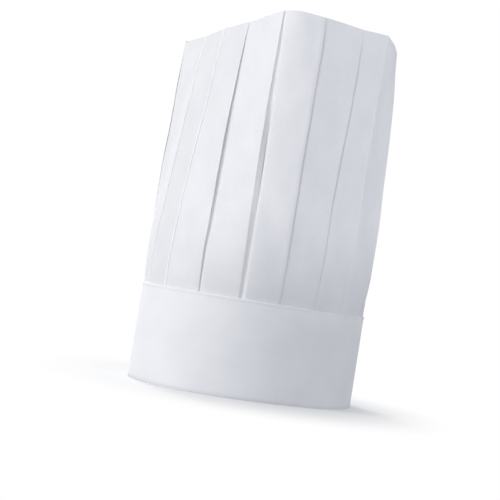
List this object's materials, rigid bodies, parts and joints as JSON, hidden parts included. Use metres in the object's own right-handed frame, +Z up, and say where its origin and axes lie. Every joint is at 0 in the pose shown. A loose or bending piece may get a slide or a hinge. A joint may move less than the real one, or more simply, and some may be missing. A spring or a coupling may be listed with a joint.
{
  "type": "paper chef hat",
  "caption": "Tall white paper chef hat: a knife-pleated crown with a plain closed top, tucked into a wide plain headband whose ends overlap at the back.",
  "frame": {"origin": "middle of the hat's box, on the plane of the headband's lower edge", "axes": "+Z up the crown, -Y towards the wearer's forehead, +X towards the wearer's left ear"},
  "size_m": [0.1972, 0.2103, 0.3235],
  "materials": {
    "band_paper": "smooth matt white card-like paper",
    "crown_paper": "soft matt white fibrous non-woven paper"
  },
  "bodies": {
    "root": {"band": "band_paper", "crown": "crown_paper", "crown_top": "crown_paper"}
  },
  "joints": []
}
